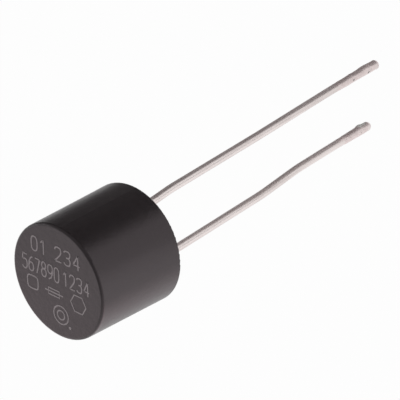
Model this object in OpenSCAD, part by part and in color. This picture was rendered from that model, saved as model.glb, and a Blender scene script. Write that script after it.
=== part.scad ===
// Radial lead fuse: a round moulded cap closed by a moulded base that carries two tinned wire leads,
// with the fuse element soldered between the tops of the leads inside.
// The origin is midway between the leads on the seating plane, the plane of the cap's open rim.
// +Z points out through the closed end of the cap, and the leads run down along -Z, one at each side in X.

/* [Cap] */
// Diameter over the open rim
cap_rim_d = 8.6; // [8.2:0.05:10]
// Diameter over the closed end, smaller than the rim by the mould's draft
cap_top_d = 8.44; // [8.0:0.02:9.8]
// Height from the rim to the closed end
cap_h = 7.35; // [6.2:0.05:10]
// Side wall beside the hollow
cap_wall = 0.78; // [0.6:0.02:0.9]
// Side wall round the mouth that holds the base
mouth_wall = 0.58; // [0.4:0.02:0.7]
// Thickness of the closed end
cap_end_t = 0.8; // [0.5:0.05:1.4]
// Rounding of the edge of the closed end
end_edge_r = 0.2; // [0.05:0.01:0.4]
// Rounding of the outer edge of the rim
rim_edge_r = 0.1; // [0.04:0.01:0.2]
// Rounding inside the hollow, where the wall meets the closed end
hollow_edge_r = 0.3; // [0.1:0.05:0.6]
// Chamfer that leads the base into the mouth
mouth_chamfer = 0.1; // [0.04:0.01:0.14]

/* [Base] */
// Thickness of the base disc
base_t = 1.5; // [1.2:0.05:2]
// Depth of the base's underside above the rim
base_recess = 0.05; // [0.02:0.01:0.1]
// Radial gap between the base and the mouth
fit_gap = 0.03; // [0.01:0.01:0.06]
// Chamfer on the base's edges
base_chamfer = 0.05; // [0.02:0.01:0.1]
// Section radius of the snap bead round the base
bead_r = 0.1; // [0.06:0.01:0.14]
// Radius of the collar round each lead
collar_r = 0.78; // [0.6:0.02:1]
// Height of the collars above the disc
collar_h = 0.9; // [0.5:0.05:1.3]
// Thickness of the web between the collars
web_t = 0.7; // [0.4:0.05:1]
// Height of the web above the disc
web_h = 0.6; // [0.3:0.05:0.9]
// Gap between the collars and the wall of the hollow
collar_gap = 0.12; // [0.05:0.01:0.2]

/* [Leads] */
// Distance between the leads where they leave the base
pitch = 5.08; // [4.6:0.01:5.4]
// Diameter of the lead wire
lead_d = 0.6; // [0.5:0.01:0.7]
// Length of the right lead below the seating plane
right_len = 25.3; // [22:0.1:30]
// Length of the left lead below the seating plane
left_len = 25; // [22:0.1:30]
// Direction in which both leads lean, counted from +X
lean_az = 42.5; // [0:0.5:90]
// Width of the coined blade inside the body
blade_w = 0.8; // [0.7:0.01:1]
// Thickness of the coined blade
blade_t = 0.35; // [0.25:0.01:0.45]
// Length of the solder-dipped tip
dip_len = 2.9; // [2:0.1:4]
// How far the dipped solder stands proud of the wire
dip_swell = 0.03; // [0.01:0.01:0.08]

/* [Lead bends] */
// Straight stretch of both leads below the seating plane
stub_len = 1.5; // [1:0.1:2.5]
// Radius of the first bend of both leads
stub_bend_r = 3; // [2:0.1:6]
// Radius of the clear bends farther out
wire_bend_r = 16; // [10:0.5:24]
// Radius of the faint bends
faint_bend_r = 40; // [30:1:60]
// Right lead, angle of the first bend towards the lean
right_first_angle = 6; // [4:0.1:8]
// Right lead, straight run from the first bend to the second
right_second_run = 1.2; // [0.6:0.05:3]
// Right lead, angle of the second bend, back from the lean
right_second_angle = 3; // [1:0.1:5]
// Right lead, straight run from the second bend to the third
right_third_run = 8.35; // [6:0.05:11]
// Right lead, angle of the third bend towards the lean
right_third_angle = 0.6; // [0.4:0.1:2]
// Right lead, angle of the faint bend near the tip, back from the lean
right_tip_angle = 1.1; // [0.3:0.1:3]
// Right lead, straight run from that bend to the dipped tip
right_tip_run = 1.8; // [0.5:0.1:3]
// Left lead, angle of the first bend towards the lean
left_first_angle = 3.4; // [2:0.1:5]
// Left lead, straight run from the first bend to the second
left_second_run = 11.1; // [8:0.05:12]
// Left lead, angle of the second bend towards the lean
left_second_angle = 2.9; // [1:0.1:4]
// Left lead, straight run from the second bend to the third
left_third_run = 3.1; // [1:0.05:4]
// Left lead, angle of the third bend, back from the lean
left_third_angle = 3; // [1:0.1:5]
// Left lead, angle of the faint bend near the tip, back from the lean
left_tip_angle = 1.1; // [0.3:0.1:3]
// Left lead, straight run from that bend to the dipped tip
left_tip_run = 0.6; // [0.4:0.1:1.5]

/* [Element] */
// Diameter of the fuse element
element_d = 0.08; // [0.06:0.01:0.15]
// Rise of the element between the leads
element_bow = 0.6; // [0.4:0.05:0.9]
// Room between the element and the closed end
element_room = 1.3; // [0.8:0.05:1.6]
// Radius of the solder joint on each blade
joint_r = 0.56; // [0.5:0.01:0.65]

/* [Hidden] */
$fn = 72;
CAP_BLACK = [0.16, 0.155, 0.155];
TINNED = [0.78, 0.76, 0.74];
SOLDER = [0.66, 0.66, 0.67];
ELEMENT_METAL = [0.80, 0.72, 0.60];

cap_draft = atan((cap_rim_d - cap_top_d) / 2 / cap_h);
base_top = base_recess + base_t;
mouth_r = cap_rim_d / 2 - mouth_wall;
base_r = mouth_r - fit_gap;
// The bead's centre lies a little inside the base's side
bead_sink = 0.3 * bead_r;
bead_z = base_recess + base_t / 2;
ceiling_z = cap_h - cap_end_t;
hollow_r = wall_x(base_top) - cap_wall;
lead_r = lead_d / 2;
// The element's ends lie just above the blades, with a film of solder between
element_r = element_d / 2;
element_inset = 0.1;
solder_film = 0.02;
element_end_x = pitch / 2 - element_inset;
element_end_z = ceiling_z - element_room - element_bow;
blade_top = element_end_z - element_d - solder_film;
// The ball of solder is centred a little below the blade's top, and its skirt leaves it at an angle
joint_sink = 0.1;
joint_z = blade_top - joint_sink;
skirt_angle = 20;
skirt_len = 0.55;
skirt_taper = 0.11;
skirt_r = joint_r - skirt_taper;
// Share of the dipped length over which the coat swells to its full thickness
swell_share = 0.7;
// Each bend is [straight run before it, angle towards the lean, radius]; the wire starts under the base
stub_run = base_recess + stub_len;
RIGHT_BENDS = [
    [stub_run, right_first_angle, stub_bend_r],
    [right_second_run, -right_second_angle, wire_bend_r],
    [right_third_run, right_third_angle, faint_bend_r]
];
LEFT_BENDS = [
    [stub_run, left_first_angle, stub_bend_r],
    [left_second_run, left_second_angle, wire_bend_r],
    [left_third_run, -left_third_angle, wire_bend_r]
];
DIP_STEPS = 12;
TIP_STEPS = 6;

// Outer half-width of the drafted cap at a height
function wall_x(z) = cap_rim_d / 2 - z * tan(cap_draft);
// Centre of a rounding that touches a drafted side and stays a distance r inside it
function rounding_x(side_x, r) = side_x - r / cos(cap_draft);
// Half-width of the hollow at a height
function hollow_x(z) = hollow_r - (z - base_top) * tan(cap_draft);
// Radius of the dipped wire at a share t of the dip's length
function dip_radius(t) = lead_r + dip_swell * pow(sin(90 * min(1, t / swell_share)), 2);
// Length of the wire's centre line in a bend
function bend_len(bend) = abs(bend[1]) * PI / 180 * bend[2];
// Length of wire that the bends from number i on take up, with the straight runs before them
function bent_len(bends, i = 0) =
    i < len(bends) ? bends[i][0] + bend_len(bends[i]) + bent_len(bends, i + 1) : 0;
// The bends of a wire with the faint one near its tip, which is placed back from the dipped end
function with_tip_bend(bends, angle, tip_run, wire_len) =
    let (
        tip_bend = [0, -angle, faint_bend_r],
        run = wire_len - dip_len - tip_run - bend_len(tip_bend) - bent_len(bends)
    )
    concat(bends, [[run, -angle, faint_bend_r]]);

module cap_outline() {
    rim_c = [rounding_x(wall_x(rim_edge_r), rim_edge_r), rim_edge_r];
    end_c = [rounding_x(wall_x(cap_h - end_edge_r), end_edge_r), cap_h - end_edge_r];
    out = [cos(cap_draft), sin(cap_draft)];
    polygon([
        [0, 0],
        [rim_c[0], 0],
        rim_c + rim_edge_r * out,
        end_c + end_edge_r * out,
        [end_c[0], cap_h],
        [0, cap_h]
    ]);
    translate(rim_c) circle(rim_edge_r);
    translate(end_c) circle(end_edge_r);
}

// The mouth, the ledge that the base seats on, and the hollow above it
module cap_hollow() {
    corner_c = [rounding_x(hollow_x(ceiling_z - hollow_edge_r), hollow_edge_r), ceiling_z - hollow_edge_r];
    out = [cos(cap_draft), sin(cap_draft)];
    below = 1;
    polygon([
        [0, -below],
        [mouth_r + mouth_chamfer + below, -below],
        [mouth_r, mouth_chamfer],
        [mouth_r, base_top],
        [hollow_r, base_top],
        corner_c + hollow_edge_r * out,
        [corner_c[0], ceiling_z],
        [0, ceiling_z]
    ]);
    translate(corner_c) circle(hollow_edge_r);
    translate([base_r - bead_sink, bead_z]) circle(bead_r + fit_gap);
}

module cap() {
    color(CAP_BLACK) rotate_extrude() difference() {
        cap_outline();
        cap_hollow();
    }
}

module base_disc() {
    rotate_extrude() {
        polygon([
            [0, base_recess],
            [base_r - base_chamfer, base_recess],
            [base_r, base_recess + base_chamfer],
            [base_r, base_top - base_chamfer],
            [base_r - base_chamfer, base_top],
            [0, base_top]
        ]);
        translate([base_r - bead_sink, bead_z]) circle(bead_r);
    }
}

// Collars and web, cut back where they would come near the wall of the hollow
module base_supports() {
    intersection() {
        union() {
            for (side = [-1, 1])
                translate([side * pitch / 2, 0, base_recess]) cylinder(r = collar_r, h = base_t + collar_h);
            translate([-pitch / 2, -web_t / 2, base_recess]) cube([pitch, web_t, base_t + web_h]);
        }
        cylinder(r = hollow_x(base_top + collar_h) - collar_gap, h = cap_h);
    }
}

module base() {
    color(CAP_BLACK) difference() {
        union() {
            base_disc();
            base_supports();
        }
        for (side = [-1, 1]) blade(side);
    }
}

// The end of the wire that is coined flat, from the base's underside to the solder joint
module blade(side) {
    translate([side * pitch / 2 - blade_t / 2, -blade_w / 2, base_recess])
        cube([blade_t, blade_w, blade_top - base_recess]);
}

// A bend that starts along +Z at the origin and turns towards +X, or towards -X for a negative angle
module bend_arc(angle, radius) {
    turn = angle < 0 ? 180 : 0;
    rotate([0, 0, turn])
        translate([radius, 0, 0])
        rotate([90, 0, 180])
        rotate_extrude(angle = abs(angle)) translate([radius, 0]) rotate(turn) circle(lead_r);
}

// A length of wire along +Z, with the bends from number i on, that ends in its dipped tip
module wire_from(bends, i, wire_len) {
    run = i < len(bends) ? bends[i][0] : wire_len - dip_len;
    cylinder(r = lead_r, h = run);
    translate([0, 0, run]) {
        if (i < len(bends)) {
            angle = bends[i][1];
            radius = bends[i][2];
            bend_arc(angle, radius);
            translate([sign(angle) * radius * (1 - cos(angle)), 0, radius * sin(abs(angle))])
                rotate([0, angle, 0])
                wire_from(bends, i + 1, wire_len - run - bend_len(bends[i]));
        } else {
            dipped_tip();
        }
    }
}

// The solder-dipped end: the coat swells along the wire and closes in a blunt round tip
module dipped_tip() {
    end_r = dip_radius(1);
    swell_len = dip_len - end_r;
    rotate_extrude() polygon([
        [0, 0],
        for (i = [0 : DIP_STEPS]) [dip_radius(i / DIP_STEPS), swell_len * i / DIP_STEPS],
        for (i = [1 : TIP_STEPS]) [
            end_r * cos(90 * i / TIP_STEPS),
            swell_len + end_r * sin(90 * i / TIP_STEPS)
        ]
    ]);
}

// A whole lead: the blade inside the body, and the wire that runs below_len down from the seating plane
module lead(side, bends, tip_angle, tip_run, below_len) {
    wire_len = base_recess + below_len;
    all_bends = with_tip_bend(bends, tip_angle, tip_run, wire_len);
    color(TINNED) {
        blade(side);
        translate([side * pitch / 2, 0, base_recess])
            rotate([0, 0, lean_az])
            mirror([0, 0, 1])
            wire_from(all_bends, 0, wire_len);
    }
}

module lead_left() {
    lead(-1, LEFT_BENDS, left_tip_angle, left_tip_run, left_len);
}

module lead_right() {
    lead(1, RIGHT_BENDS, right_tip_angle, right_tip_run, right_len);
}

// The element is an arc of fine wire that ends inside the two solder joints
module element_wire() {
    arc_r = (pow(element_end_x, 2) + pow(element_bow, 2)) / 2 / element_bow;
    half_angle = asin(element_end_x / arc_r);
    translate([0, 0, element_end_z + element_r + element_bow - arc_r])
        rotate([90, 0, 0])
        rotate([0, 0, 90 - half_angle])
        rotate_extrude(angle = 2 * half_angle) translate([arc_r, 0]) circle(element_r);
}

module element() {
    color(ELEMENT_METAL) element_wire();
}

// Solder wetted round the top of a blade: a ball that runs down the blade in a tapering skirt
module joint(side) {
    color(SOLDER) difference() {
        translate([side * pitch / 2, 0, joint_z]) {
            sphere(joint_r);
            translate([0, 0, -skirt_len]) cylinder(
                r1 = skirt_r,
                r2 = joint_r * cos(skirt_angle),
                h = skirt_len - joint_r * sin(skirt_angle)
            );
        }
        blade(side);
        element_wire();
    }
}

module joint_left() {
    joint(-1);
}

module joint_right() {
    joint(1);
}

cap();
base();
lead_left();
lead_right();
element();
joint_left();
joint_right();
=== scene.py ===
# %% [markdown]
# A radial lead fuse, step by step
#
# The object is a small round fuse: a black moulded cap, closed by a moulded base that carries two tinned
# wires. A fine element is soldered between the wires inside. All of these are solid parts already, so this
# lesson is about looks: the camera, the light, a finish for every part, the fine print on the closed end,
# and the uneven coat of solder on the tips of the wires.
#
# Lengths are written in millimetres, as on a drawing, and multiplied by MM, because a scene is in metres.

import math

import bpy
import numpy as np
from mathutils import Matrix, Vector, noise


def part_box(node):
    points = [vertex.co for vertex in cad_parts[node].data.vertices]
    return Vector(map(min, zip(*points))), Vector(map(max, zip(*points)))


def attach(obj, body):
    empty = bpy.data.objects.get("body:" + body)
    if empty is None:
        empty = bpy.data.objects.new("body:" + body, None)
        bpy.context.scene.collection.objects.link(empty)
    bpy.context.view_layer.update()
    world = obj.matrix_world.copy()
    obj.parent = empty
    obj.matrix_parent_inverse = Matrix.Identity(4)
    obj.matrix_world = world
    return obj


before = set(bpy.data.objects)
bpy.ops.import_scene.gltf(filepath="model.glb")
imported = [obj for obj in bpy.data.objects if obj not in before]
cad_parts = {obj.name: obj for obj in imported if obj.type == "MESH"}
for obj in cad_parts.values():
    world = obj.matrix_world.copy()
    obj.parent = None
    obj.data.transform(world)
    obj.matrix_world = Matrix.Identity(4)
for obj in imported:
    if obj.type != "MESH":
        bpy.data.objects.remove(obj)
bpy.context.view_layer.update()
scene = bpy.context.scene
MM = 0.001
print("parts:", sorted(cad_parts))

# %% [markdown]
# The camera
#
# A small part on a long lens looks nearly parallel, so its round end stays a clean ellipse. The camera looks
# down on the closed end from one side, and is rolled until the wires run up to the right. It could be placed
# by eye. Here it is given as a photographer would say it: a point in the middle of the picture, a direction,
# a distance and a roll, so that each can be changed by itself.

# %% Place the camera
PICTURE_PX = 400
FOCAL_PX = 4518.6
SENSOR_MM = 36
AIM = Vector((2.54, -2.09, -4.03)) * MM
VIEW_DISTANCE = 304.6 * MM
VIEW_AZIMUTH = math.radians(42.50)
VIEW_ELEVATION = math.radians(38.92)
VIEW_ROLL = math.radians(-117.57)
CLIP_START = 10 * MM
CLIP_END = 10


def view_axes(azimuth, elevation, roll):
    """The picture's right and up, and the way back to the camera. Azimuth 0 looks along +Y."""
    level = math.cos(elevation)
    back = Vector((math.sin(azimuth) * level, -math.cos(azimuth) * level, math.sin(elevation)))
    level_right = Vector((math.cos(azimuth), math.sin(azimuth), 0))
    level_up = back.cross(level_right)
    right = level_right * math.cos(roll) + level_up * math.sin(roll)
    return right, back.cross(right), back


right, up, back = view_axes(VIEW_AZIMUTH, VIEW_ELEVATION, VIEW_ROLL)
lens = bpy.data.cameras.new("camera")
lens.sensor_width = SENSOR_MM
lens.lens = FOCAL_PX / PICTURE_PX * SENSOR_MM
lens.clip_start = CLIP_START
lens.clip_end = CLIP_END
camera = bpy.data.objects.new("camera", lens)
scene.collection.objects.link(camera)
turn = Matrix((right, up, back)).transposed().to_4x4()
camera.matrix_world = Matrix.Translation(AIM + back * VIEW_DISTANCE) @ turn
scene.camera = camera
print("lens, mm:", round(lens.lens, 1))

# %% [markdown]
# Shader sums written as Python
#
# A procedural finish is arithmetic on patterns: a mask is one minus another mask, a height is grain plus
# ripple. Nodes could be placed and linked one by one, which soon hides the idea behind the plumbing. This
# class holds one socket and adds a node whenever two signals are added, subtracted or multiplied, so that a
# finish reads as a formula. A Mix node has sockets for numbers, vectors and colours side by side, so those
# for colours are picked by their places. Noise runs from 0 to 1, and most of it lies near its middle.

# %% A signal in a shader tree
MIX_SHARE = 0
MIX_FIRST_COLOUR = 6
MIX_SECOND_COLOUR = 7
MIXED_COLOUR = 2
NOISE_MIDDLE = 0.5


class Signal:
    """One output socket. Sums on signals add the nodes that work them out."""

    def __init__(self, tree, socket=None):
        self.tree = tree
        self.socket = socket

    def node(self, kind, settings=None, inputs=None, output=0):
        """Adds a node: its settings first, then the values or links of its sockets."""
        made = self.tree.nodes.new("ShaderNode" + kind)
        for name, value in (settings or {}).items():
            setattr(made, name, value)
        for name, value in (inputs or {}).items():
            if isinstance(value, Signal):
                self.tree.links.new(value.socket, made.inputs[name])
            else:
                made.inputs[name].default_value = value
        return Signal(self.tree, made.outputs[output] if made.outputs else None)

    def math(self, operation, *values):
        return self.node("Math", {"operation": operation}, dict(enumerate(values)))

    def __add__(self, other):
        return self.math("ADD", self, other)

    def __radd__(self, other):
        return self.math("ADD", other, self)

    def __sub__(self, other):
        return self.math("SUBTRACT", self, other)

    def __rsub__(self, other):
        return self.math("SUBTRACT", other, self)

    def __mul__(self, other):
        return self.math("MULTIPLY", self, other)

    def __rmul__(self, other):
        return self.math("MULTIPLY", other, self)

    def stretched(self, factors):
        """A vector signal with each axis scaled by its own factor."""
        return self.node("VectorMath", {"operation": "MULTIPLY"}, {0: self, 1: factors})

    def along(self, axis):
        """How far a vector signal points along a unit direction."""
        return self.node("VectorMath", {"operation": "DOT_PRODUCT"}, {0: self, 1: axis}, output="Value")

    def turned(self, x_axis, y_axis, z_axis):
        """A vector signal read in axes of its own, each a unit direction."""
        return self.node("CombineXYZ", None, dict(enumerate(map(self.along, (x_axis, y_axis, z_axis)))))

    def distance_to(self, point):
        return self.node("VectorMath", {"operation": "DISTANCE"}, {0: self, 1: point}, output="Value")

    def cloud(self, scale, detail=2.0):
        """Soft noise from 0 to 1, with `scale` patches to a millimetre."""
        return self.node("TexNoise", None, {"Vector": self, "Scale": scale, "Detail": detail})

    def smooth(self, low, high):
        """Rises softly from 0 at `low` to 1 at `high`."""
        kind = {"interpolation_type": "SMOOTHSTEP"}
        return self.node("MapRange", kind, {"Value": self, "From Min": low, "From Max": high})

    def colours(self, at_zero, at_one):
        """A colour between two, with this signal as the share of the second."""
        inputs = {MIX_SHARE: self, MIX_FIRST_COLOUR: at_zero, MIX_SECOND_COLOUR: at_one}
        return self.node("Mix", {"data_type": "RGBA"}, inputs, output=MIXED_COLOUR)

    def mixed_shaders(self, at_zero, at_one):
        """A shader between two, with this signal as the share of the second."""
        return self.node("MixShader", None, {0: self, 1: at_zero, 2: at_one})


print("sockets of a colour mix:", MIX_SHARE, MIX_FIRST_COLOUR, MIX_SECOND_COLOUR, MIXED_COLOUR)

# %% [markdown]
# White room and white floor
#
# The part stands alone on white, as in a catalogue. Lighting a floor until it clips to white would burn out
# the part as well. So what the camera sees directly, and what shiny metal mirrors, is plain white at
# strength 1 or close to it. Every other ray finds an ordinary pale floor and a softer room, which light the
# part gently and let the floor keep a trace of shadow. The room is also dimmer overhead, towards the side
# where the flag will stand. That dim patch is what draws a fine dark line along the rounded edge of the cap.
# The floor is clear from below, so that the underside of the part can be looked at too.

# %% White room
WHITE = (1, 1, 1, 1)
ROOM_LEVEL = 0.73
MIRRORED_LEVEL = 0.93
DIM_AZIMUTH = math.radians(6)
DIM_ELEVATION = math.radians(63)
DIM_SHARE = 0.53
DIM_EDGE = 0.19
DIM_CORE = 0.72


def ray_kinds(start):
    """Two signals: 1 for rays from the camera, and 1 for rays that shiny or clear surfaces send on."""
    kinds = ("Is Camera Ray", "Is Glossy Ray", "Is Transmission Ray")
    seen, glossy, through = (start.node("LightPath", output=kind) for kind in kinds)
    return seen, glossy + through


def empty_tree(owner):
    """Clears a world's or a material's nodes, and returns a signal from which new ones can be added."""
    owner.use_nodes = True
    owner.node_tree.nodes.clear()
    return Signal(owner.node_tree)


def direction(azimuth, elevation):
    """The unit vector that points out at an azimuth from +X and an elevation, both in radians."""
    level = math.cos(elevation)
    return Vector((math.cos(azimuth) * level, math.sin(azimuth) * level, math.sin(elevation)))


world = bpy.data.worlds.new("white_room")
scene.world = world
start = empty_tree(world)
seen, mirrored = ray_kinds(start)
towards_dim = start.node("TexCoord", output="Generated").along(direction(DIM_AZIMUTH, DIM_ELEVATION))
dimmed = 1 - towards_dim.smooth(DIM_EDGE, DIM_CORE) * DIM_SHARE
level = ROOM_LEVEL + mirrored * (MIRRORED_LEVEL - ROOM_LEVEL)
strength = seen + (1 - seen) * level * dimmed
surface = start.node("Background", None, {"Color": WHITE, "Strength": strength})
start.node("OutputWorld", None, {"Surface": surface})
print("room, plain and mirrored:", ROOM_LEVEL, MIRRORED_LEVEL)

# %% White floor
FLOOR_Z = -60 * MM
FLOOR_REACH = 2
FLOOR_PAPER = (0.9, 0.9, 0.9, 1)
SEEN_GLOW_SHARE = 0.97
MIRRORED_GLOW_SHARE = 0.94

floor_mesh = bpy.data.meshes.new("floor")
corners = [(-1, -1), (1, -1), (1, 1), (-1, 1)]
floor_mesh.from_pydata([(x * FLOOR_REACH, y * FLOOR_REACH, FLOOR_Z) for x, y in corners], [], [(0, 1, 2, 3)])
floor = bpy.data.objects.new("floor", floor_mesh)
scene.collection.objects.link(floor)

paper = bpy.data.materials.new("floor_paper")
start = empty_tree(paper)
seen, mirrored = ray_kinds(start)
lit = start.node("BsdfDiffuse", None, {"Color": FLOOR_PAPER})
glow = start.node("Emission", None, {"Color": WHITE, "Strength": 1.0})
glow_share = seen * SEEN_GLOW_SHARE + mirrored * MIRRORED_GLOW_SHARE
from_below = start.node("NewGeometry", output="Backfacing")
surface = from_below.mixed_shaders(glow_share.mixed_shaders(lit, glow), start.node("BsdfTransparent"))
start.node("OutputMaterial", None, {"Surface": surface})
floor_mesh.materials.append(paper)
print("floor at z, mm:", round(FLOOR_Z / MM, 1))

# %% [markdown]
# Softboxes
#
# Black plastic has almost no colour of its own: what shows its form is the grey sheen of the room in it. A
# wide softbox, low on one side and no brighter than the room, draws the pale edge of the cap. A small one
# behind lifts the closed end, and a weak one in front keeps the near side of the cap from sinking to black.
# The first two are slightly pink, which gives the sheen its faint warmth. One large lamp would be simpler,
# but then no edge of the cap could be set without moving the others.

# %% Softboxes
PLAIN_LIGHT = (1, 1, 1)
PINKISH_LIGHT = (1.0, 0.76, 0.81)


def softbox(name, azimuth, elevation, distance, size, aim, radiance, colour):
    """A square area lamp that faces a point. Azimuth counts from +X, in degrees, and lengths are in mm."""
    lamp = bpy.data.lights.new(name, "AREA")
    lamp.shape = "SQUARE"
    lamp.size = size * MM
    lamp.color = colour
    lamp.energy = radiance * math.pi * lamp.size ** 2
    box = bpy.data.objects.new(name, lamp)
    scene.collection.objects.link(box)
    away = direction(math.radians(azimuth), math.radians(elevation))
    box.location = (Vector(aim) + away * distance) * MM
    box.rotation_mode = "QUATERNION"
    box.rotation_quaternion = away.to_track_quat("Z", "Y")
    box.visible_camera = False
    print(name, "at, mm:", [round(v / MM) for v in box.location])


softbox("side_softbox", azimuth=-152, elevation=-17, distance=103, size=113,
        aim=(0, 0, -10), radiance=0.77, colour=PINKISH_LIGHT)
softbox("back_softbox", azimuth=140, elevation=16, distance=51, size=26,
        aim=(0, 0, 7), radiance=0.90, colour=PINKISH_LIGHT)
softbox("front_softbox", azimuth=-92, elevation=-17, distance=42, size=30,
        aim=(0, 0, 0), radiance=0.38, colour=PLAIN_LIGHT)

# %% [markdown]
# A dark flag and a grey strip
#
# Bright wire needs the opposite of light: in an all-white room it would vanish. So a photographer stands a
# grey card, a flag, beside it, and the wire mirrors it as a dark line along its length. The near edge of the
# card says where that line starts. The cap and the two ends of the wires mirror different heights of the
# card, so its edge is cut to a line that was found by trial, and it is darker at the top. Towards its far
# edge it is a net that thins out, so that the cap turns dark only slowly, and the net reaches farther in at
# the top. A narrow strip, clear of the flag, gives the wires a second, fainter line. The camera sees neither
# of them.

# %% Dark flag
FLAG_RADIUS = 28.6 * MM
FLAG_EDGE = [(-60, -41), (-38, -37), (-31, -14), (-25, -14), (-19, -25), (13.7, -14)]
FLAG_FAR_EDGE = 124
FLAG_FADE_WIDTH = 46
FLAG_GREY_TOP = (0.33, 0.33, 0.33, 1)
FLAG_GREY_FOOT = (0.48, 0.48, 0.48, 1)
FLAG_GRADE = (-25 * MM, -15 * MM)
FLAG_TOP_REACH = 0.06 * FLAG_RADIUS
FLAG_STEPS = 24


def curved_flag(name, radius, near_edge, far_azimuth):
    """A sheet bent round the Z axis. Its near edge is a list of heights in mm and azimuths in degrees."""
    verts, faces = [], []
    row = FLAG_STEPS + 1
    for level, (z, near_azimuth) in enumerate(near_edge):
        for i in range(row):
            azimuth = math.radians(near_azimuth + (far_azimuth - near_azimuth) * i / FLAG_STEPS)
            verts.append((radius * math.cos(azimuth), radius * math.sin(azimuth), z * MM))
        if level:
            first = (level - 1) * row
            faces += [(i, i + 1, i + row + 1, i + row) for i in range(first, first + FLAG_STEPS)]
    mesh = bpy.data.meshes.new(name)
    mesh.from_pydata(verts, [], faces)
    flag = bpy.data.objects.new(name, mesh)
    scene.collection.objects.link(flag)
    flag.visible_camera = False
    return flag


flag = curved_flag("dark_flag", FLAG_RADIUS, FLAG_EDGE, FLAG_FAR_EDGE)
felt = bpy.data.materials.new("flag_felt")
start = empty_tree(felt)
on_flag = start.node("TexCoord", output="Object")
towards_edge = on_flag.along(direction(math.radians(FLAG_FAR_EDGE), 0))
at_top = on_flag.along(Vector((0, 0, 1))).smooth(*FLAG_GRADE)
net = towards_edge + at_top * FLAG_TOP_REACH
thinned = net.smooth(FLAG_RADIUS * math.cos(math.radians(FLAG_FADE_WIDTH)), FLAG_RADIUS)
grey = start.node("BsdfDiffuse", None, {"Color": at_top.colours(FLAG_GREY_FOOT, FLAG_GREY_TOP)})
surface = thinned.mixed_shaders(grey, start.node("BsdfTransparent"))
start.node("OutputMaterial", None, {"Surface": surface})
flag.data.materials.append(felt)
print("flag radius, mm:", round(FLAG_RADIUS / MM, 1))

# %% Grey strip
STRIP_EDGE = [(-37, -85), (-22, -83)]
STRIP_FAR_EDGE = -67
STRIP_GREY = (0.70, 0.70, 0.70, 1)

strip = curved_flag("grey_strip", FLAG_RADIUS, STRIP_EDGE, STRIP_FAR_EDGE)
card = bpy.data.materials.new("strip_card")
start = empty_tree(card)
surface = start.node("BsdfDiffuse", None, {"Color": STRIP_GREY})
start.node("OutputMaterial", None, {"Surface": surface})
strip.data.materials.append(card)
print("strip points:", len(strip.data.vertices))

# %% [markdown]
# One way to start every finish
#
# Each finish begins with the same two things: a Principled shader whose plain values are set on its own
# sockets, and a place on the object. Generated coordinates would be one choice, but they stretch a pattern
# to the box of each part. Object coordinates keep it fixed to the part, at one size on all of them. They are
# scaled to millimetres, which makes a noise scale easy to judge: a scale of 8 gives eight patches to a
# millimetre.

# %% Start and finish a material
def new_finish(name, **plain):
    """A material with the shader's plain values set. Returns it, its shader and the place in mm."""
    material = bpy.data.materials.new(name)
    material.use_nodes = True
    shader = material.node_tree.nodes["Principled BSDF"]
    for socket, value in plain.items():
        shader.inputs[socket.replace("_", " ")].default_value = value
    place = Signal(material.node_tree).node("TexCoord", output="Object").stretched((1 / MM,) * 3)
    return material, shader, place


def feed(shader, **signals):
    """Links what changes over the surface. A height in mm goes through a Bump node to the normal."""
    for socket, signal in signals.items():
        if socket == "Height":
            bump = signal.node("Bump", None, {"Height": signal, "Distance": MM})
            signal.tree.links.new(bump.socket, shader.inputs["Normal"])
        else:
            signal.tree.links.new(signal.socket, shader.inputs[socket.replace("_", " ")])


print("object coordinates are multiplied by:", round(1 / MM))

# %% [markdown]
# Moulded plastic
#
# The cap and the base are black thermoplastic from a lightly textured mould. The pigment is nearly black,
# and what the eye sees is a satin sheen, a little uneven where the melt flowed. A grain of about a tenth of
# a millimetre, with a finer one on it, breaks that sheen up. The closed end's edge has been rubbed a little
# smoother by handling. Grain could be a picture. Noise is used, because it has no seams and no fixed size.

# %% Plastic for the cap and the base
SHEEN_TINT = (1.0, 0.85, 0.90, 1)
FLOW_STRETCH = (1, 1, 0.45)
FLOW_PER_MM = 0.7
FLOW_ROUGHNESS = 0.10
PATCHES_PER_MM = 2.2
PATCH_ROUGHNESS = 0.08
PATCH_HEIGHT = 0.010
GRAINS_PER_MM = 9
FINE_GRAINS_PER_MM = 21
FINE_GRAIN_SHARE = 0.4
RUBBED_WIDTH = 0.35
RUBBED_SMOOTHNESS = 0.05
_, cap_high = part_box("cap")
CAP_TOP = cap_high.z / MM
CAP_RADIUS = cap_high.x / MM


def moulded_plastic(name, black, streaked, roughness, grain_height, sheen):
    """Black plastic: colour, streak colour, mean roughness, grain height in mm, and specular level."""
    plain = {"Specular_IOR_Level": sheen, "Specular_Tint": SHEEN_TINT}
    material, shader, place = new_finish(name, **plain)
    flow = place.stretched(FLOW_STRETCH).cloud(FLOW_PER_MM, detail=3)
    patches = place.cloud(PATCHES_PER_MM)
    grain = place.cloud(GRAINS_PER_MM, detail=1)
    fine_grain = place.cloud(FINE_GRAINS_PER_MM, detail=1)
    from_axis = place.stretched((1, 1, 0)).distance_to((0, 0, 0))
    rubbed = from_axis.smooth(CAP_RADIUS - RUBBED_WIDTH, CAP_RADIUS)
    height = place.node("SeparateXYZ", None, {0: place}, output="Z")
    near_end = height.smooth(CAP_TOP - RUBBED_WIDTH, CAP_TOP)
    streaks = roughness + (flow - NOISE_MIDDLE) * FLOW_ROUGHNESS
    uneven = streaks + (patches - NOISE_MIDDLE) * PATCH_ROUGHNESS
    grains = grain * grain_height + fine_grain * (FINE_GRAIN_SHARE * grain_height)
    feed(
        shader,
        Base_Color=flow.colours(black, streaked),
        Roughness=uneven - rubbed * near_end * RUBBED_SMOOTHNESS,
        Height=grains + patches * PATCH_HEIGHT,
    )
    return material


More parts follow.
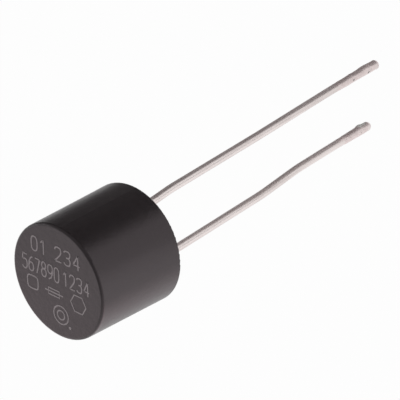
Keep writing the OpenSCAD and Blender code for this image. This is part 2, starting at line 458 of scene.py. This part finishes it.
cap_plastic = moulded_plastic(
    "cap_plastic",
    black=(0.0027, 0.0024, 0.0025, 1),
    streaked=(0.0040, 0.0036, 0.0038, 1),
    roughness=0.35,
    grain_height=0.0043,
    sheen=0.72,
)
base_plastic = moulded_plastic(
    "base_plastic",
    black=(0.0040, 0.0036, 0.0038, 1),
    streaked=(0.0060, 0.0054, 0.0057, 1),
    roughness=0.30,
    grain_height=0.002,
    sheen=0.69,
)
print("cap radius and height, mm:", round(CAP_RADIUS, 2), round(CAP_TOP, 2))

# %% [markdown]
# The line of each wire
#
# Two steps below need to know where a wire runs: the fine lines in its tin follow it, and the solder on its
# tip wraps round it. The wires lean and bend, so their line isn't written down here but measured on their
# own meshes: of all points near the end of a wire, the direction in which they spread most is its line.

# %% Measure a tip
STRAIGHT_END = {"lead_right": 4.85, "lead_left": 3.70}
FIT_PASSES = 3


def measure_tip(lead):
    """The tip, the direction of a lead's end, and its outline: places back from the tip and radii, in mm."""
    points = np.array([v.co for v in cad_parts[lead].data.vertices]) / MM
    axis = np.array((0.0, 0.0, -1.0))
    for _ in range(FIT_PASSES):
        along = points @ axis
        near = points[along > along.max() - STRAIGHT_END[lead]]
        centre = near.mean(axis=0)
        _, _, spread_directions = np.linalg.svd(near - centre)
        axis = spread_directions[0]
        axis = axis if axis[2] < 0 else -axis
    place = (near - centre) @ axis
    radius = np.linalg.norm(near - centre - np.outer(place, axis), axis=1)
    order = np.argsort(place)[::-1]
    tip = centre + axis * place.max()
    outline = np.column_stack((place.max() - place[order], radius[order]))
    return Vector(tip), Vector(axis), outline


tips = {lead: measure_tip(lead) for lead in STRAIGHT_END}
for lead, (tip, _, outline) in tips.items():
    print(lead, "tip, mm:", [round(v, 2) for v in tip], "widest:", round(2 * float(outline[:, 1].max()), 3))

# %% [markdown]
# Tinned wire
#
# The leads are copper wire with a bright coat of tin. Drawing the wire leaves faint lines along it, the tin
# has dull clouds where it has begun to tarnish, and both wires have light scuffs from handling. The fine
# element inside is drawn wire too, so it shares this finish in a warmer colour. A wave texture would make
# the lines all alike. So they are noise, stretched along the wire: the place is first read in axes that are
# turned to the wire's line.

# %% Tin for the leads and metal for the element
TIN_BRIGHT = (0.825, 0.752, 0.735, 1)
TIN_DULL = (0.675, 0.609, 0.592, 1)
TIN_ROUGHNESS = 0.26
ELEMENT_BRIGHT = (0.80, 0.69, 0.50, 1)
ELEMENT_DULL = (0.62, 0.50, 0.34, 1)
ELEMENT_ROUGHNESS = 0.29
ELEMENT_RUN = Vector((1, 0, 0))
LINES_PER_MM = (4.5, 4.5, 0.06)
LINE_EDGES = (0.42, 0.60)
LINE_SHARE = 0.75
LINE_HEIGHT = 0.002
CLOUD_STRETCH = (1, 1, 0.5)
CLOUDS_PER_MM = 1.6
CLOUD_EDGES = (0.35, 0.75)
CLOUD_ROUGHNESS = 0.10
SCUFF_STRETCH = (3, 3, 1)
SCUFFS_PER_MM = 2.5
SCUFF_EDGES = (0.62, 0.72)
SCUFF_ROUGHNESS = 0.10
SCUFF_HEIGHT = 0.001


def drawn_metal(name, bright, dull, roughness, run):
    """Wire metal with its least roughness, lines along the direction `run`, and clouds of tarnish."""
    material, shader, place = new_finish(name, Metallic=1.0)
    side = run.orthogonal().normalized()
    lines = place.turned(side, run.cross(side), run).stretched(LINES_PER_MM).cloud(1, detail=3)
    clouds = place.stretched(CLOUD_STRETCH).cloud(CLOUDS_PER_MM, detail=3)
    scuffs = place.stretched(SCUFF_STRETCH).cloud(SCUFFS_PER_MM).smooth(*SCUFF_EDGES)
    tarnish = clouds.smooth(*CLOUD_EDGES) * (1 - LINE_SHARE) + lines.smooth(*LINE_EDGES) * LINE_SHARE
    feed(
        shader,
        Base_Color=tarnish.colours(bright, dull),
        Roughness=roughness + clouds * CLOUD_ROUGHNESS + scuffs * SCUFF_ROUGHNESS,
        Height=lines * LINE_HEIGHT + scuffs * SCUFF_HEIGHT,
    )
    return material


lead_finish = {
    lead: drawn_metal("tinned_" + lead, TIN_BRIGHT, TIN_DULL, TIN_ROUGHNESS, run=axis)
    for lead, (_, axis, _) in tips.items()
}
element_wire = drawn_metal("element_wire", ELEMENT_BRIGHT, ELEMENT_DULL, ELEMENT_ROUGHNESS, run=ELEMENT_RUN)
print("finishes:", [finish.name for finish in lead_finish.values()], element_wire.name)

# %% [markdown]
# Solder
#
# Solder freezes with a skin that is satin but not even: shallow dimples, duller grains, a bead with a pale,
# frosted patch on its upper side, and here and there a grey speck. The pale patch is partly flux and partly
# a
# painted highlight: its colour stands in for light that the top of the bead would catch. Noise alone would
# scatter them anywhere. But the patch and the specks sit at known places, so each is a small ball of
# distance round a point, made ragged by noise.

# %% Solder with grey specks, and a pale patch that is partly a painted highlight
SOLDER_BRIGHT = (0.765, 0.672, 0.660, 1)
SOLDER_DULL = (0.700, 0.606, 0.594, 1)
SOLDER_ROUGHNESS = 0.33
SOLDER_GRAINS_PER_MM = 3.5
SOLDER_GRAIN_EDGES = (0.35, 0.70)
SOLDER_GRAIN_ROUGHNESS = 0.08
SOLDER_GRAIN_HEIGHT = 0.006
DIMPLES_PER_MM = 7
DIMPLE_HEIGHT = 0.002
SPECK_GREY = (0.34, 0.34, 0.33, 1)
SPECK_ROUGHNESS = 0.20
SPECK_DEPTH = 0.006
# The pale patch on the bead: frosted flux, and partly a painted highlight for light the bead's top would
# catch.
PALE_FLUX_AND_HIGHLIGHT = (0.93, 0.93, 0.89, 1)
FLUX_AND_HIGHLIGHT_ROUGHNESS = 0.35
SPOT_CORE = 0.55
SPOT_RAGGED = 0.8


def spots(place, noise_signal, places):
    """1 on round spots, each a point and a radius in mm, and 0 elsewhere."""
    total = noise_signal * 0
    for point, radius in places:
        ragged = place.distance_to(point) + (noise_signal - NOISE_MIDDLE) * (SPOT_RAGGED * radius)
        total = total + (1 - ragged.smooth(SPOT_CORE * radius, radius))
    return total


def solder_skin(name, specks=(), beads=()):
    """Frozen solder with grey specks, and pale patches that are partly painted highlight; each is a point
    and a radius in mm.
    """
    material, shader, place = new_finish(name, Metallic=1.0)
    grains = place.cloud(SOLDER_GRAINS_PER_MM, detail=3)
    dimples = place.cloud(DIMPLES_PER_MM, detail=1)
    metal = grains.smooth(*SOLDER_GRAIN_EDGES).colours(SOLDER_BRIGHT, SOLDER_DULL)
    speck = spots(place, dimples, specks)
    # Pale patch on the bead: flux, and partly a painted highlight.
    flux_and_highlight = spots(place, dimples, beads)
    rough_metal = SOLDER_ROUGHNESS + grains * SOLDER_GRAIN_ROUGHNESS
    feed(
        shader,
        Base_Color=flux_and_highlight.colours(speck.colours(metal, SPECK_GREY), PALE_FLUX_AND_HIGHLIGHT),
        Roughness=rough_metal + speck * SPECK_ROUGHNESS + flux_and_highlight * FLUX_AND_HIGHLIGHT_ROUGHNESS,
        Height=grains * SOLDER_GRAIN_HEIGHT + dimples * DIMPLE_HEIGHT - speck * SPECK_DEPTH,
    )
    if specks or beads:
        feed(shader, Metallic=1 - speck - flux_and_highlight)
    return material


joint_solder = solder_skin("joint_solder")
print("finish:", joint_solder.name)

# %% [markdown]
# A finish for each part
#
# Every solid keeps its mesh, and only the slots of its object are filled again. The two joints inside share
# one solder, as they would on the bench. The finish could be guessed from a part's name, but a plain list
# shows at once what each part is made of.

# %% Give every part its finish
PART_FINISH = {
    "cap": cap_plastic,
    "base": base_plastic,
    "lead_left": lead_finish["lead_left"],
    "lead_right": lead_finish["lead_right"],
    "element": element_wire,
    "joint_left": joint_solder,
    "joint_right": joint_solder,
}
for part, finish in PART_FINISH.items():
    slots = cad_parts[part].data.materials
    for i in range(len(slots)):
        slots[i] = finish
    print(part, "is", finish.name)

# %% [markdown]
# Fine print on the closed end
#
# The closed end carries a few rows of thin pale print, in strokes a tenth of a millimetre wide. Here it is
# counting digits and plain signs. A font would be one way, but engraving letters are single strokes, not
# outlines. So each digit is one or two short paths on a grid of 4 by 6 whose corners are then cut round, and
# every path becomes a flat ribbon of ink with a real, very small thickness. No path crosses itself.

# %% Digits as single strokes
GRID_W = 4
GRID_H = 6
DIGIT_STROKES = {
    "0": [[(0, 1.2), (0, 4.8), (1, 6), (3, 6), (4, 4.8), (4, 1.2), (3, 0), (1, 0), (0, 1.2)]],
    "1": [[(0.8, 4.6), (2.6, 6), (2.6, 6), (2.6, 0)]],
    "2": [[(0, 4.7), (0.7, 6), (3.3, 6), (4, 4.7), (3.6, 3.2), (0, 0), (0, 0), (4, 0)]],
    "3": [[(0, 5.1), (0.8, 6), (3.4, 6), (4, 4.6), (3.2, 3.2), (1.4, 3.2)],
          [(1.4, 3.2), (3.4, 3.2), (4, 1.5), (3.3, 0), (0.7, 0), (0, 0.9)]],
    "4": [[(3, 0), (3, 6), (3, 6), (0, 1.8), (0, 1.8), (2, 1.8)], [(2, 1.8), (4, 1.8)]],
    "5": [[(3.8, 6), (0.4, 6), (0.4, 6), (0.2, 3.3), (0.2, 3.3), (1.2, 3.9), (3.4, 3.8), (4, 2.4),
           (3.9, 0.8), (3, 0), (0.9, 0), (0, 0.9)]],
    "6": [[(3.4, 6), (1.2, 5.2), (0, 3), (0, 1), (1, 0), (3, 0), (4, 1), (4, 2.6), (3, 3.5), (2, 3.5)],
          [(2, 3.5), (1, 3.5), (0, 2)]],
    "7": [[(0, 6), (4, 6), (4, 6), (1.4, 0)]],
    "8": [[(2, 3.2), (0.5, 3.6), (0.3, 5.1), (1.2, 6), (2.8, 6), (3.7, 5.1), (3.5, 3.6), (2, 3.2)],
          [(2, 3.2), (0.2, 2.8), (0, 1), (1, 0), (3, 0), (4, 1), (3.8, 2.8), (2, 3.2)]],
    "9": [[(0.6, 0), (2.8, 0.8), (4, 3), (4, 5), (3, 6), (1, 6), (0, 5), (0, 3.4), (1, 2.5), (2, 2.5)],
          [(2, 2.5), (3, 2.5), (4, 4)]],
}
print("digits:", len(DIGIT_STROKES), "strokes:", sum(len(strokes) for strokes in DIGIT_STROKES.values()))

# %% Round the corners
ROUNDING_PASSES = 2
NEAR = 0.75
FAR = 1 - NEAR


def cut_corners(path):
    """Rounds an open or closed path: each pass replaces a corner by two points beside it."""
    closed = path[0] == path[-1]
    for _ in range(ROUNDING_PASSES):
        cut = [] if closed else [path[0]]
        for (ax, ay), (bx, by) in zip(path, path[1:]):
            cut.append((NEAR * ax + FAR * bx, NEAR * ay + FAR * by))
            cut.append((FAR * ax + NEAR * bx, FAR * ay + NEAR * by))
        cut.append(cut[0] if closed else path[-1])
        path = cut
    return path


def digit_paths(text, left, baseline, pitch, width, height):
    """The strokes of a run of digits. X runs along the row and y down the face, in mm."""
    across = width / GRID_W
    upward = height / GRID_H
    paths = []
    for i, digit in enumerate(text):
        corner = left + i * pitch
        for stroke in DIGIT_STROKES[digit]:
            paths.append([(corner + x * across, baseline - y * upward) for x, y in cut_corners(stroke)])
    return paths


print("points of a 0 before and after:", len(DIGIT_STROKES["0"][0]), len(cut_corners(DIGIT_STROKES["0"][0])))

# %% [markdown]
# Plain signs
#
# Below the digits stand simple signs: a square with round corners, the drawing symbol of a fuse, a hexagon,
# two rings and a dot. They could be flat plates cut out of each other, but then every line would need two
# outlines. As paths they need only their corners, and they share the digits' ribbon.

# %% Signs as paths
CIRCLE_SIDES = 32
HEXAGON_SIDES = 6
DOT_SIDES = 12


def ring(centre, radius, sides=CIRCLE_SIDES):
    """A closed path of equal sides: many for a circle, six for a hexagon."""
    angles = [2 * math.pi * i / sides for i in range(sides)]
    points = [(centre[0] + radius * math.cos(a), centre[1] + radius * math.sin(a)) for a in angles]
    return points + points[:1]


def box_path(centre, half_w, half_h, corner=0.0):
    """A closed box. With a corner length, each corner is cut off and the path rounded."""
    x, y = centre
    path = []
    for sx, sy in ((-1, -1), (1, -1), (1, 1), (-1, 1)):
        along = (x + sx * (half_w - corner), y + sy * half_h)
        down = (x + sx * half_w, y + sy * (half_h - corner))
        path += [along, down] if sx != sy else [down, along]
    return cut_corners(path + path[:1]) if corner else path[::2] + path[:1]


SQUARE_AT = (-2.38, 0.90)
FUSE_AT = (-0.38, 0.95)
FUSE_REACH = 0.85
HEXAGON_AT = (1.90, 1.00)
RINGS_AT = (0.22, 2.45)
DOT_AT = (1.05, 3.15)
sign_paths = [
    box_path(SQUARE_AT, half_w=0.50, half_h=0.50, corner=0.16),
    box_path(FUSE_AT, half_w=0.52, half_h=0.24),
    [(FUSE_AT[0] - FUSE_REACH, FUSE_AT[1]), (FUSE_AT[0] + FUSE_REACH, FUSE_AT[1])],
    ring(HEXAGON_AT, radius=0.72, sides=HEXAGON_SIDES),
    ring(RINGS_AT, radius=0.68),
    ring(RINGS_AT, radius=0.34),
    ring(DOT_AT, radius=0.06, sides=DOT_SIDES),
]
print("signs:", len(sign_paths))

# %% [markdown]
# Ribbons of ink
#
# Print is a thin film with a small step at its edge. A curve with a bevel would give it a round back, like
# thread, so a flat ribbon is built point by point. Each path gets a left and a right edge, square to its
# direction, a flat top, and sides that reach down into the plastic. The width wanders a little, as print
# does. Where strokes cross, each lies a hair higher than the one before, so that no two faces share a plane.

# %% A ribbon along a path
INK_WIDTH = 0.100
INK_WANDER = 0.14
WANDERS_PER_MM = 3
WANDER_PER_LAYER = 900
INK_ROOT = 0.004
SECTION_POINTS = 4
READING = math.radians(-86)
along_row = Vector((math.cos(READING), math.sin(READING), 0))
up_row = Vector((0, 0, 1)).cross(along_row)


def ribbon(path, top, verts, faces):
    """Adds the closed strip of one path to the lists of points and faces."""
    closed = path[0] == path[-1]
    points = [Vector(point) for point in (path[:-1] if closed else path)]
    count = len(points)
    first = len(verts)
    for i, point in enumerate(points):
        before = points[i - 1] if i > 0 or closed else point
        after = points[(i + 1) % count] if i < count - 1 or closed else point
        across = (after - before).normalized().orthogonal()
        spot = (point.x * WANDERS_PER_MM, point.y * WANDERS_PER_MM, top * WANDER_PER_LAYER)
        wander = 1 + INK_WANDER * noise.noise(spot)
        for side, z in ((1, -INK_ROOT), (1, top), (-1, top), (-1, -INK_ROOT)):
            edge = point + across * (side * INK_WIDTH / 2 * wander)
            on_face = along_row * edge.x - up_row * edge.y
            verts.append((on_face + Vector((0, 0, CAP_TOP + z))) * MM)
    rings = count if closed else count - 1
    for i in range(rings):
        a, b = first + SECTION_POINTS * i, first + SECTION_POINTS * ((i + 1) % count)
        for k in range(SECTION_POINTS):
            following = (k + 1) % SECTION_POINTS
            faces.append((a + k, a + following, b + following, b + k))
    if not closed:
        last = first + SECTION_POINTS * (count - 1)
        faces.append(tuple(range(first, first + SECTION_POINTS))[::-1])
        faces.append(tuple(range(last, last + SECTION_POINTS)))


print("ribbon width and root, mm:", INK_WIDTH, INK_ROOT)

# %% Turn points and faces into a piece
def new_piece(name, verts, faces, material, smooth):
    """A mesh piece that rides on the fuse's one body and takes the finish it is given."""
    mesh = bpy.data.meshes.new(name)
    mesh.from_pydata(verts, [], faces)
    mesh.materials.append(material)
    mesh.polygons.foreach_set("use_smooth", [smooth] * len(mesh.polygons))
    mesh.validate()
    mesh.update()
    piece = bpy.data.objects.new(name, mesh)
    scene.collection.objects.link(piece)
    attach(piece, "root")
    print(name, "faces:", len(mesh.polygons))


# %% Lay out the print
FIRST_ROW = {"baseline": -1.62, "height": 1.08}
SECOND_ROW = {"baseline": 0.05, "height": 1.10}
INK_THICKNESS = 0.010
INK_STEP = 0.0005
INK_LAYERS = 6

print_paths = (
    digit_paths("01", left=-2.40, pitch=0.78, width=0.56, **FIRST_ROW)
    + digit_paths("234", left=-0.18, pitch=0.86, width=0.60, **FIRST_ROW)
    + digit_paths("567890", left=-3.30, pitch=0.60, width=0.44, **SECOND_ROW)
    + digit_paths("1234", left=0.48, pitch=0.67, width=0.47, **SECOND_ROW)
    + sign_paths
)
print_verts, print_faces = [], []
for i, path in enumerate(print_paths):
    ribbon(path, INK_THICKNESS + INK_STEP * (i % INK_LAYERS), print_verts, print_faces)
print("strokes of print:", len(print_paths))

# %% [markdown]
# Ink
#
# The ink is a pale grey, matt and a little starved: in places the black plastic shows through it. It could
# be left see-through there. A mix of a pale and a dark grey looks the same on black, and stays a solid film.

# %% Ink and the printed piece
INK_PALE = (0.420, 0.370, 0.385, 1)
INK_STARVED = (0.170, 0.152, 0.157, 1)
INK_SHEEN = 0.4
INK_ROUGHNESS = 0.55
STARVED_ROUGHNESS = 0.2
STARVED_PER_MM = 11
STARVED_EDGES = (0.52, 0.72)
STARVED_SHARE = 0.6
FADED_PER_MM = 2.5
FADED_SHARE = 0.15
INK_RELIEF = 0.003


def pale_ink(name):
    """Matt ink that is starved in fine specks and faded in wider patches."""
    material, shader, place = new_finish(name, Specular_IOR_Level=INK_SHEEN)
    specks = place.cloud(STARVED_PER_MM).smooth(*STARVED_EDGES)
    starved = specks * STARVED_SHARE + place.cloud(FADED_PER_MM, detail=1) * FADED_SHARE
    feed(
        shader,
        Base_Color=starved.colours(INK_PALE, INK_STARVED),
        Roughness=INK_ROUGHNESS + starved * STARVED_ROUGHNESS,
        Height=(1 - starved) * INK_RELIEF,
    )
    return material


new_piece("end_print", print_verts, print_faces, pale_ink("pale_ink"), smooth=False)

# %% [markdown]
# The coat of solder
#
# The tips were dipped in solder. The parts already have a regular dipped end, but the real coat is uneven:
# it creeps up the wire in a wavy front and sags into lumps. It could be sculpted by hand, which nobody could
# repeat. Here the coat is a skin over the measured outline: rings of points that stand off the wire by a
# film, plus a few lumps at chosen places, plus gentle noise. At its front the film runs under the wire's
# surface, so that the edge is a true meeting line. A lump is given as a maker would point at it: how far
# back from the tip, on which side (the azimuth from +X), how high, how long and how wide.

# %% How thick the solder is
FILM = 0.008
FRONT_WAVE = 0.20
FRONT_WAVINESS = 1.3
FRONT_BLEND = 0.25
FRONT_SINK = 0.010
RIPPLE = 0.006
RIPPLES_ROUND = 0.9
RIPPLES_PER_MM = 1.7


def eased(share):
    """A share that is held between 0 and 1 and leaves both softly."""
    share = min(max(share, 0), 1)
    return share * share * (3 - 2 * share)


def coat_height(back_from_tip, azimuth, spoke, coat_len, lumps):
    """How far the solder stands off the wire, in mm, at a place back from the tip and along a spoke."""
    round_wire = Vector((math.cos(azimuth), math.sin(azimuth), coat_len))
    wave = FRONT_WAVE * noise.noise(round_wire * FRONT_WAVINESS)
    share = eased((coat_len + wave - back_from_tip) / FRONT_BLEND)
    ripple = RIPPLE * noise.noise(spoke * RIPPLES_ROUND + Vector((0, 0, back_from_tip * RIPPLES_PER_MM)))
    height = (FILM + FRONT_SINK + ripple) * share - FRONT_SINK
    for place, side, rise, half_len, half_width in lumps:
        turned = math.degrees(azimuth) - side
        turned = (turned + 180) % 360 - 180
        height += rise * math.exp(-((back_from_tip - place) / half_len) ** 2 - (turned / half_width) ** 2)
    return height


print("film with its sink, mm:", FILM, FRONT_SINK)

# %% Wrap a tip in solder
COAT_SIDES = 72
COAT_RINGS = 120
OUTLINE_STEPS = 400


def solder_coat(name, lead, coat_len, lumps, material):
    """A skin over the end of a lead: rings that are evenly spaced along the outline, each pushed out."""
    tip, axis, outline = tips[lead]
    side = axis.cross(Vector((0, 1, 0))).normalized()
    across = axis.cross(side)
    arc = np.concatenate(([0], np.cumsum(np.hypot(*np.diff(outline, axis=0).T))))
    steps = np.linspace(0, arc[-1], OUTLINE_STEPS)
    backs, radii = (np.interp(steps, arc, outline[:, k]) for k in (0, 1))
    last = np.searchsorted(backs, coat_len + 2 * FRONT_WAVE)
    rows = np.linspace(0, steps[min(last, len(steps) - 1)], COAT_RINGS)
    backs, radii = np.interp(rows, steps, backs), np.interp(rows, steps, radii)
    slope_back, slope_radius = np.gradient(backs), np.gradient(radii)
    verts, faces = [], []
    for i in range(COAT_RINGS):
        length = math.hypot(slope_back[i], slope_radius[i])
        out_back, out_radius = -slope_radius[i] / length, slope_back[i] / length
        for k in range(COAT_SIDES):
            angle = 2 * math.pi * k / COAT_SIDES
            spoke = side * math.cos(angle) + across * math.sin(angle)
            azimuth = math.atan2(spoke.y, spoke.x)
            rise = coat_height(backs[i], azimuth, spoke, coat_len, lumps)
            place = tip - axis * (backs[i] + out_back * rise) + spoke * (radii[i] + out_radius * rise)
            verts.append(place * MM)
            if i:
                before = (k - 1) % COAT_SIDES
                a, b = (i - 1) * COAT_SIDES, i * COAT_SIDES
                faces.append((a + before, a + k, b + k, b + before))
    faces.append(tuple(range(COAT_SIDES))[::-1])
    faces.append(tuple((COAT_RINGS - 1) * COAT_SIDES + k for k in range(COAT_SIDES)))
    new_piece(name, verts, faces, material, smooth=True)


print("points in a coat:", COAT_RINGS * COAT_SIDES)

# %% Place specks, beads and lumps
def on_wire(lead, back_from_tip, azimuth):
    """The point on a lead's surface at a place back from the tip and an azimuth in degrees."""
    tip, axis, outline = tips[lead]
    radius = float(np.interp(back_from_tip, outline[:, 0], outline[:, 1]))
    return tip - axis * back_from_tip + direction(math.radians(azimuth), 0) * radius


RIGHT_COAT_LEN = 4.40
LEFT_COAT_LEN = 3.25
right_specks = [
    (on_wire("lead_right", 2.86, -84), 0.095),
    (on_wire("lead_right", 1.26, -97), 0.110),
    (on_wire("lead_right", 1.02, -90), 0.075),
    (on_wire("lead_right", 0.08, -95), 0.100),
]
left_specks = [(on_wire("lead_left", 1.24, -83), 0.040)]
# Where the pale patches sit on the left bead: flux, and partly a painted highlight.
left_beads = [(on_wire("lead_left", 0.95, 30), 0.36), (on_wire("lead_left", 0.62, 30), 0.32)]
right_lumps = [
    (2.95, 15, 0.035, 0.40, 42),
    (1.50, 15, 0.045, 0.45, 42),
    (3.30, -10, 0.020, 0.28, 30),
    (1.38, -10, 0.024, 0.28, 30),
    (3.35, -137, 0.027, 0.75, 60),
    (4.50, -137, 0.013, 0.40, 60),
    (0.12, -137, 0.045, 0.22, 45),
    (4.35, -43, 0.012, 0.10, 14),
]
left_lumps = [
    (1.02, 42, 0.074, 0.25, 28),
    (0.62, 42, 0.010, 0.24, 30),
    (2.80, -137, 0.014, 0.80, 60),
    (3.12, -10, 0.030, 0.24, 32),
    (1.38, -10, 0.022, 0.20, 30),
]
right_skin = solder_skin("coat_solder_right", right_specks)
left_skin = solder_skin("coat_solder_left", left_specks, left_beads)
solder_coat("solder_coat_right", "lead_right", RIGHT_COAT_LEN, right_lumps, right_skin)
solder_coat("solder_coat_left", "lead_left", LEFT_COAT_LEN, left_lumps, left_skin)

# %% [markdown]
# The colour view
#
# The view transform is Standard, which shows a colour about as it is written.

# %% Colour view
scene.view_settings.view_transform = "Standard"
